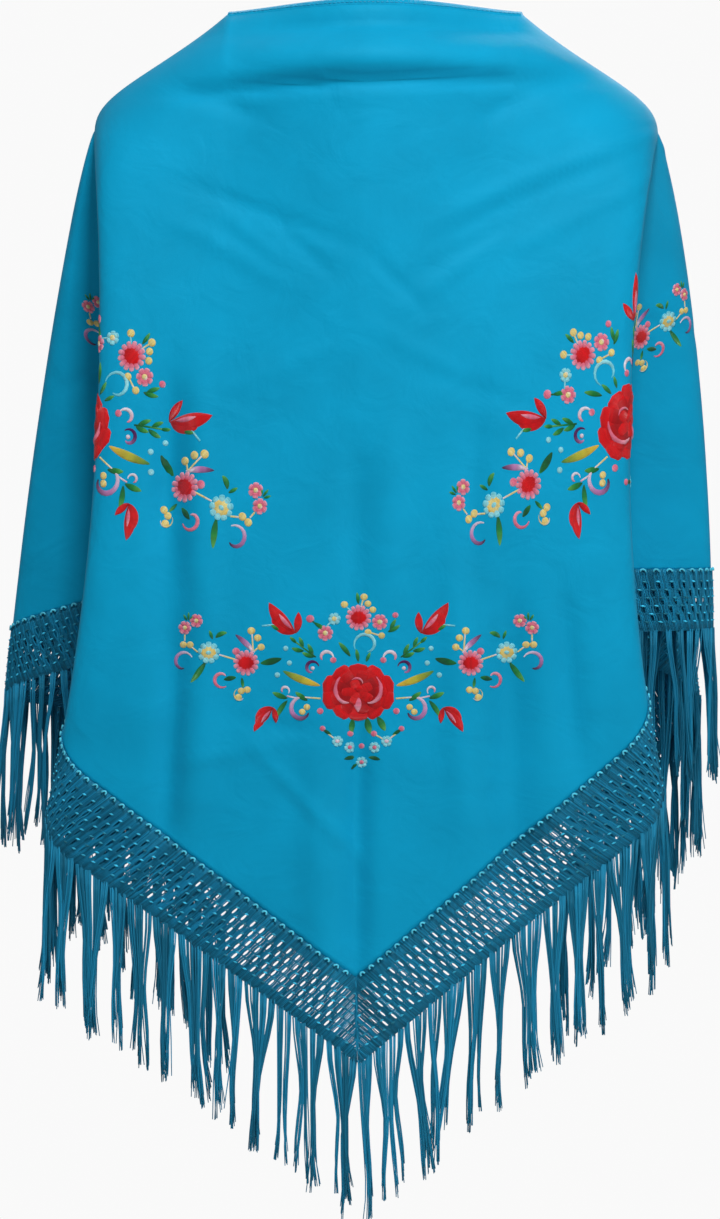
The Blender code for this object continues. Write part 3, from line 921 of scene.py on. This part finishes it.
# Where each spray lies: a place on it, in its own millimetres, and that place's distance round
# the figure and height. The arm that turns the fold at the side is placed by itself.
Place = namedtuple(
    "Place", "spray arm from_right from_up around level turn stretch_around stretch_up")
PLACES = (
    Place("centre", "whole", 0, 0, 4, -510, 0, 1.0, 1.0),
    Place("left", "inner", 0, 0, -226, -293, -43, 1.10, 1.20),
    Place("left", "outer", -119.2, 31.6, -330, -215, -12, 1.0, 1.0),
    Place("right", "inner", 0, 0, 221, -293, 42, 1.0, 1.20),
    Place("right", "outer", 119.2, 31.6, 330, -205, 12, 1.0, 1.0),
)


def on_arm(strip, place):
    """Whether a pad belongs to the part of the spray that this place lays down."""
    middle = strip.path[:, 0].mean() * (1 if place.around > 0 else -1)
    return place.arm == "whole" or (middle > ARM_START) == (place.arm == "outer")


def make_spray(name, random):
    """One spray as a single mesh of its pads. Each runs from its first tone to its last."""
    pads = spray_pads()
    share = RUN[None, :, None] * 2
    points, uvs, tones = [], [], []
    for place in PLACES:
        if place.spray != name:
            continue
        strips = [strip for strip in pads if on_arm(strip, place)]
        grid, uv = stitched_grid(strips, place)
        hues = np.stack([np.stack(FLOSSES[strip.hue]) for strip in strips])
        near = hues[:, :1] * (1 - share) + hues[:, 1:2] * share
        far = hues[:, 1:2] * (2 - share) + hues[:, 2:] * (share - 1)
        tone = np.where(share < 1, near, far)
        tone = tone * random.uniform(*FLOSS_TONES, tone.shape[:2])[..., None]
        points.append(grid.reshape(-1, 3))
        uvs.append(uv.reshape(-1, 2))
        tones.append(np.repeat(tone.reshape(-1, 3), STEPS_ACROSS, axis=0))
    points = np.concatenate(points)
    pad_size = STEPS_ALONG * STEPS_ACROSS
    first = np.arange(len(points) // pad_size)[:, None, None] * pad_size
    faces = (grid_faces(STEPS_ALONG, STEPS_ACROSS, flip=True)[None] + first).reshape(-1, 4)
    piece = mesh_piece("spray_" + name, points, faces, uv=np.concatenate(uvs),
                       colours=np.clip(np.concatenate(tones), 0, 1))
    piece.data.materials.append(floss_finish())
    return piece


floss_random = np.random.default_rng(3)
sprays = [make_spray(name, floss_random) for name in ("centre", "left", "right")]


# The knotted lace bands, one on each short edge. They are hand-knotted in glossy thread: a
# ribbed row under a line of small loops, five rows of slender gaps between bundled threads,
# and a ribbed foot. They are sewn to the cloth's edge and mitred at the point.
MITRE_GAP = 0.0007
EDGE_GAP = 0.0004
LACE_WIDTH = 0.050
LACE_PITCH = 0.0082
THREADS_PER_PITCH = 8
THREAD_RADIUS = 0.00064
THREAD_OVERLAP = 0.0012
THREAD_TOP = 0.0045
THREAD_WANDER = 0.00010
THREAD_LIFT = 0.0004
LIFT_WANDER = 0.00015
NET_TOP = 0.0088
NET_FOOT = 0.0418
NET_ROWS = 5
NET_STEPS = 14
GAP_WIDTH = 0.0017
GAP_LENGTH = 0.0070
POINT_CLOSED = 0.004
POINT_OPEN = 0.022
LACE_BLUE = (0.007, 0.190, 0.350)
# The knots' lighter blue, with its widely scattered tones, is painted glints on the glossy thread.
KNOT_BLUE_PAINTED_GLINT = (0.040, 0.430, 0.640)
# The loops' lighter blue is a painted highlight where they stand out from the seam.
LOOP_BLUE_PAINTED_HIGHLIGHT = (0.100, 0.640, 0.840)


def band_tilt(side, along):
    """How far the columns lean from square to the short edge, at a place along it."""
    foot, distance = tip_foot(side)
    angle = leg_angle(side)
    return np.clip(np.arctan((along - foot) / distance), -angle, math.pi / 2 - angle)


def band_drop(side, girth, width):
    """Height below a column's start of a point that lies this far below the seam, squarely."""
    return column_drop(side, girth) + width / np.cos(band_tilt(side, girth))


def band_points(side, along, width, lift):
    """Points of the lace band, from places given along and square to its edge, and a lift."""
    girth = along - width * np.tan(band_tilt(side, along))
    girth = np.clip(girth, MITRE_GAP, leg_length(side))
    return worn(side, girth, band_drop(side, girth, width), lift)


def band_start(side):
    """Where the band's squared-up threads start: before the point, by the mitre's overhang."""
    return -LACE_WIDTH * math.tan(leg_angle(side))


def thread_finish(name, colour):
    """Glossy twisted thread: its own colour, a fine slanting twist in the bump, a soft sheen."""
    material, tree, shader = new_finish(name, colour, {
        "Roughness": 0.34, "Sheen Weight": 0.06, "Sheen Tint": (0.25, 0.80, 1.0, 1),
        "Specular IOR Level": 0.6, "Specular Tint": (0.25, 0.85, 1.0, 1)})
    tint = add_node(tree, "Attribute", attribute_name="thread_colour")
    place = add_node(tree, "TexCoord")
    twist = add_node(tree, "TexWave", {
        "Vector": place.outputs["Object"], "Scale": 500, "Distortion": 2},
        bands_direction="DIAGONAL")
    fill_inputs(tree, shader, {
        "Base Color": tint.outputs["Color"],
        "Normal": add_bump(tree, twist.outputs["Fac"], 0.4, 0.0003)})
    return material


def shaded(colour, amount):
    """Rows of one colour, each scaled by its amount."""
    return np.asarray(colour)[None, :] * np.asarray(amount)[:, None]


def net_threads(side, random):
    """Paths of the band's threads: evenly spaced ribs, pushed aside round rows of slender gaps.

    A gap lies on every pitch, and half a pitch further in every second row. A thread at share u
    of the pitch moves by gap width x (0.5 - u) round a gap at 0.5, and by gap width x (1 - u) or
    -u round a gap at 0, times a bump along the gap's length. Near the point the gaps close.
    """
    start = band_start(side)
    reach = leg_length(side) - start
    pitches = int(reach / LACE_PITCH)
    pitch = reach / pitches
    thread = np.arange(pitches * THREADS_PER_PITCH)
    share = ((thread + 0.5) / THREADS_PER_PITCH % 1)[:, None]
    net = np.linspace(NET_TOP - 0.001, NET_FOOT + 0.001, NET_STEPS)
    width = np.concatenate(([-THREAD_OVERLAP, THREAD_TOP], net, [LACE_WIDTH - EDGE_GAP]))
    row_height = (NET_FOOT - NET_TOP) / NET_ROWS
    push = np.zeros((len(thread), len(width)))
    swing = np.zeros_like(push)
    for row in range(NET_ROWS):
        offset = (width - NET_TOP - (row + 0.5) * row_height) / (GAP_LENGTH / 2)
        bump = np.clip(1 - offset ** 2, 0, 1)[None, :]
        aside = 0.5 - share if row % 2 else np.where(share < 0.5, -share, 1 - share)
        push += GAP_WIDTH * aside * bump
        swing += np.sign(aside) * bump
    home = (thread[:, None] + 0.5) / THREADS_PER_PITCH * pitch
    from_mitre = start + home + width[None, :] * math.tan(leg_angle(side))
    along = home + push * np.clip((from_mitre - POINT_CLOSED) / (POINT_OPEN - POINT_CLOSED), 0, 1)
    along = along + random.normal(0, THREAD_WANDER, (len(thread), 1))
    lift = THREAD_LIFT * (1 + swing) + random.uniform(-LIFT_WANDER, LIFT_WANDER, (len(thread), 1))
    width = np.broadcast_to(width, along.shape)
    return band_points(side, along + start, width, lift), pitch, pitches


KNOT_LENGTH = 0.0015
KNOT_SLANT = 0.0004
KNOT_LIFT = 0.0013
KNOT_RADIUS = 0.00090


def net_knots(side, pitch, pitches):
    """Small knots at the ends of the gaps, coloured lighter than the threads as painted highlights,
    as short fat tubes along the band.
    """
    rows = np.arange(NET_ROWS + 1)
    cell, row = [values.ravel() for values in np.meshgrid(np.arange(pitches), rows, indexing="ij")]
    home = (cell + np.where(row % 2 == 0, 0.5, 0.0)) * pitch + band_start(side)
    width = NET_TOP + (NET_FOOT - NET_TOP) * row / NET_ROWS
    keep = home + width * math.tan(leg_angle(side)) > MITRE_GAP
    step = np.linspace(-1, 1, 3)
    along = home[keep][:, None] + step * KNOT_LENGTH
    across = width[keep][:, None] + step * KNOT_SLANT
    radius = KNOT_RADIUS * np.sqrt(np.clip(1.05 - step ** 2, 0.05, 1))
    return tube_points(band_points(side, along, across, KNOT_LIFT), radius[None, :], 4)


LOOP_START = 0.003
LOOP_HALF = 0.0017
LOOP_FOOT = 0.0006
LOOP_REACH = 0.0020
LOOP_LIFT = 0.0018
LOOP_RADIUS = 0.00085


def edge_loops(side, pitch, pitches):
    """A line of loops on the seam, coloured lighter as a painted highlight: arches that stand out
    from the cloth's edge.
    """
    home = (np.arange(pitches) + 0.5) * pitch + band_start(side)
    home = home[home > LOOP_START]
    turn = np.linspace(0, math.pi, 7)
    along = home[:, None] - np.cos(turn) * LOOP_HALF
    width = LOOP_FOOT - np.sin(turn) * LOOP_REACH + np.zeros_like(along)
    return tube_points(band_points(side, along, width, LOOP_LIFT), LOOP_RADIUS, 5)


WEFT_GAP = 0.0012
WEFT_TOP = 0.0002
WEFT_FOOT = 0.0008
WEFT_RADIUS = 0.00080
WEFT_STEPS = 170


def weft_cords(side):
    """Cords that run along the band: close together under the ribs, one under each row's knots."""
    girth = np.linspace(MITRE_GAP, leg_length(side) - EDGE_GAP, WEFT_STEPS)
    rows = np.linspace(NET_TOP, NET_FOOT, NET_ROWS + 1)
    widths = np.concatenate((np.arange(WEFT_TOP, NET_TOP, WEFT_GAP), rows[1:-1],
                             np.arange(NET_FOOT, LACE_WIDTH - WEFT_FOOT, WEFT_GAP)))
    paths = [worn(side, girth, band_drop(side, girth, width)) for width in widths]
    return tube_points(np.stack(paths), WEFT_RADIUS, 4)


def make_lace(side, random):
    """One band: its threads, knots, loops and cords in one mesh, each in its own tones; the cords'
    darker tone is painted shade under the ribs.
    """
    threads, pitch, pitches = net_threads(side, random)
    parts = (
        (tube_points(threads, THREAD_RADIUS, 3), LACE_BLUE, (0.55, 1.45)),
        # The knots' wide spread of tones is painted glints.
        (net_knots(side, pitch, pitches), KNOT_BLUE_PAINTED_GLINT, (0.3, 1.7)),
        (edge_loops(side, pitch, pitches), LOOP_BLUE_PAINTED_HIGHLIGHT, (0.8, 1.15)),
        # The cords' fixed tone of 0.75, darker than the threads' mean, is painted shade where they
        # lie under the ribs.
        (weft_cords(side), LACE_BLUE, None),
    )
    points, faces, colours = [], [], []
    first = 0
    for part, hue, tones in parts:
        tubes, rings, sides = part.shape[:3]
        tone = random.uniform(*tones, tubes) if tones else np.full(tubes, 0.75)
        faces.append(tube_faces(tubes, rings, sides, first))
        points.append(part.reshape(-1, 3))
        colours.append(np.repeat(shaded(hue, tone), rings * sides, axis=0))
        first += tubes * rings * sides
    name = "lace_band_" + side.name
    band = mesh_piece(name, np.concatenate(points), np.concatenate(faces),
                      colours=np.concatenate(colours))
    merge_near(band, END_REACH)
    band.data.materials.append(thread_finish("thread_" + name, LACE_BLUE))
    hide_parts("lace_" + side.name)
    return band


lace_random = np.random.default_rng(11)
lace_bands = [make_lace(side, lace_random) for side in (LEFT, RIGHT)]


# The fringe. Long locks of the same glossy thread are looped through the band's foot and hang
# straight down. Each lock is a handful of loose threads that cling together towards the tip.
FRINGE_LENGTH = 0.127
FRINGE_STEPS = 9
LENGTH_MOST = 1.03
THREAD_SHORTER = 0.16
LOCK_SHORTER = 0.09
ROOT_DEPTH = 0.0015
LOCK_PITCH = 0.0072
LOCK_HALF = 0.0028
LOCK_GATHER = 0.55
THREADS_PER_LOCK = 12
FRINGE_THREAD = 0.00064
TIP_TAPER = 0.35
CLUMP_PULL = 0.0045
CLUMP_SHARE = 0.55
STRAY_SHARE = 0.10
STRAY_SPREAD = 4.0
SWAY_ALONG = 0.0026
SWAY_OUT = 0.0014
WAVE_HEIGHT = 0.0014
WAVE_TURN = 7.0
THREAD_DEPTH = 0.0008
FRINGE_BLUE = (0.009, 0.190, 0.345)


def lock_places(side):
    """Roots of the locks on the band's foot, and the level ways along the band and outwards."""
    locks = int(leg_length(side) / LOCK_PITCH)
    home = (np.arange(locks) + 0.5) * leg_length(side) / locks
    root, ahead = [worn(side, place, band_drop(side, place, LACE_WIDTH - ROOT_DEPTH))
                   for place in (home, home + 0.001)]
    along = unit((ahead - root) * (1, 1, 0))
    out = np.stack([along[:, 1], -along[:, 0], np.zeros(locks)], axis=1) * side.sign
    return root, along, out


def fringe_threads(side, random):
    """Paths of the loose threads: down, with a slow sway, gathered in each lock.

    Two to four neighbouring locks cling together: each is pulled towards the middle of its
    clump, in proportion to its number's distance from it, by a smooth step of the fall.
    """
    root, along, out = lock_places(side)
    locks = len(root)
    fall = np.linspace(0, 1, FRINGE_STEPS)
    lock = np.repeat(np.arange(locks), THREADS_PER_LOCK)
    count = len(lock)
    spread = random.uniform(-1, 1, count)
    depth = random.uniform(-1, 1, count)
    drift = random.normal(0, 1, (locks + 8, 2))
    drift = np.stack([np.convolve(drift[:, axis], np.ones(5) / 5, "same") for axis in (0, 1)], 1)
    sway = (random.normal(0, 0.8, (locks, 2)) + drift[4:-4] * 3.0)[lock]
    phase = random.uniform(0, 2 * math.pi, locks)[lock] + random.normal(0, 0.5, count)
    clump = np.repeat(np.arange(locks), random.integers(2, 5, locks))[:locks]
    middle = np.bincount(clump, np.arange(locks)) / np.bincount(clump)
    pull = (middle[clump] - np.arange(locks))[lock] * CLUMP_PULL
    step = np.clip(fall / CLUMP_SHARE, 0, 1)
    step = step ** 2 * (3 - 2 * step)
    length = FRINGE_LENGTH * (LENGTH_MOST - THREAD_SHORTER * random.uniform(0, 1, count) ** 2
                              - LOCK_SHORTER * random.uniform(0, 1, locks)[lock])
    close = LOCK_HALF * (1 - LOCK_GATHER * np.sin(fall * math.pi * 0.6))
    stray = np.where(random.uniform(0, 1, count) < STRAY_SHARE, STRAY_SPREAD, 1.0)
    side_step = (spread[:, None] * close * stray[:, None] ** fall ** 2
                 + sway[:, :1] * SWAY_ALONG * fall ** 1.4
                 + WAVE_HEIGHT * np.sin(phase[:, None] + fall * WAVE_TURN) * fall
                 + pull[:, None] * step)
    out_step = depth[:, None] * THREAD_DEPTH + sway[:, 1:] * SWAY_OUT * fall ** 1.5
    paths = (root[lock][:, None] + along[lock][:, None] * side_step[..., None]
             + out[lock][:, None] * out_step[..., None])
    paths[..., 2] -= fall * (length[:, None] + ROOT_DEPTH)
    return paths, lock


def make_fringe(side, random):
    """One fringe: all the locks' threads in one mesh."""
    paths, lock = fringe_threads(side, random)
    taper = 1 - TIP_TAPER * np.linspace(0, 1, FRINGE_STEPS) ** 3
    tubes = tube_points(paths, FRINGE_THREAD * taper, 3)
    count, rings, sides = tubes.shape[:3]
    tone = random.uniform(0.70, 1.30, lock.max() + 1)[lock] * random.uniform(0.8, 1.2, count)
    colours = np.repeat(shaded(FRINGE_BLUE, tone), rings * sides, axis=0)
    name = "fringe_threads_" + side.name
    piece = mesh_piece(name, tubes.reshape(-1, 3), tube_faces(count, rings, sides),
                       colours=colours)
    merge_near(piece, END_REACH)
    piece.data.materials.append(thread_finish(name + "_thread", FRINGE_BLUE))
    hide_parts("fringe_" + side.name)
    return piece


fringe_random = np.random.default_rng(5)
fringes = [make_fringe(side, fringe_random) for side in (LEFT, RIGHT)]


# The studio: a plain pale floor well below the hanging part, a soft lamp above the camera, one
# low on its right and one in front of the shawl, and a camera square to the back.
FLOOR_Z = -1.45
FLOOR_RADIUS = 2.6
CAMERA_Y = -3.12
CAMERA_X = -0.0096
CAMERA_Z = -0.444
CAMERA_LENS = 110.7
STUDIO_LEVEL = 0.22
BACKDROP_LEVEL = 0.95
LAMP_TARGET = (0.0, 0.0, -0.35)

angles = np.linspace(0, 2 * math.pi, 64, endpoint=False)
rim = np.stack([np.cos(angles) * FLOOR_RADIUS, np.sin(angles) * FLOOR_RADIUS,
                np.full_like(angles, FLOOR_Z)], axis=1)
floor_mesh = bpy.data.meshes.new("floor")
floor_mesh.from_pydata(rim.tolist(), [], [list(range(len(rim)))])
floor_mesh.materials.append(new_finish("pale_floor", (0.86, 0.86, 0.86), {"Roughness": 0.8})[0])
add_object("floor", floor_mesh)

world = bpy.data.worlds.new("studio")
bpy.context.scene.world = world
world.use_nodes = True
ray = add_node(world.node_tree, "LightPath")
level = add_node(world.node_tree, "MapRange", {
    "Value": ray.outputs["Is Camera Ray"], "To Min": STUDIO_LEVEL, "To Max": BACKDROP_LEVEL})
fill_inputs(world.node_tree, world.node_tree.nodes["Background"], {
    "Color": (1.0, 1.0, 1.0, 1), "Strength": level.outputs["Result"]})

Lamp = namedtuple("Lamp", "name place size power")
LAMPS = (
    Lamp("key", (0.22, -1.9, 2.25), 0.4, 77),
    Lamp("fill", (1.7, -2.3, 0.0), 1.2, 17),
    Lamp("front", (0.4, 2.4, 1.2), 1.8, 30),
)
for lamp in LAMPS:
    light = bpy.data.lights.new(lamp.name, "AREA")
    light.energy = lamp.power
    light.size = lamp.size
    lamp_object = add_object(lamp.name, light)
    lamp_object.location = lamp.place
    aim = np.array(LAMP_TARGET) - np.array(lamp.place)
    lamp_object.rotation_euler = (
        math.acos(-aim[2] / np.linalg.norm(aim)), 0, math.atan2(-aim[0], aim[1]))

camera_data = bpy.data.cameras.new("camera")
camera_data.lens = CAMERA_LENS
camera_data.sensor_width = 36
camera = add_object("camera", camera_data)
camera.location = (CAMERA_X, CAMERA_Y, CAMERA_Z)
camera.rotation_euler = (math.pi / 2, 0, 0)
bpy.context.scene.camera = camera
bpy.context.scene.view_settings.view_transform = "Standard"
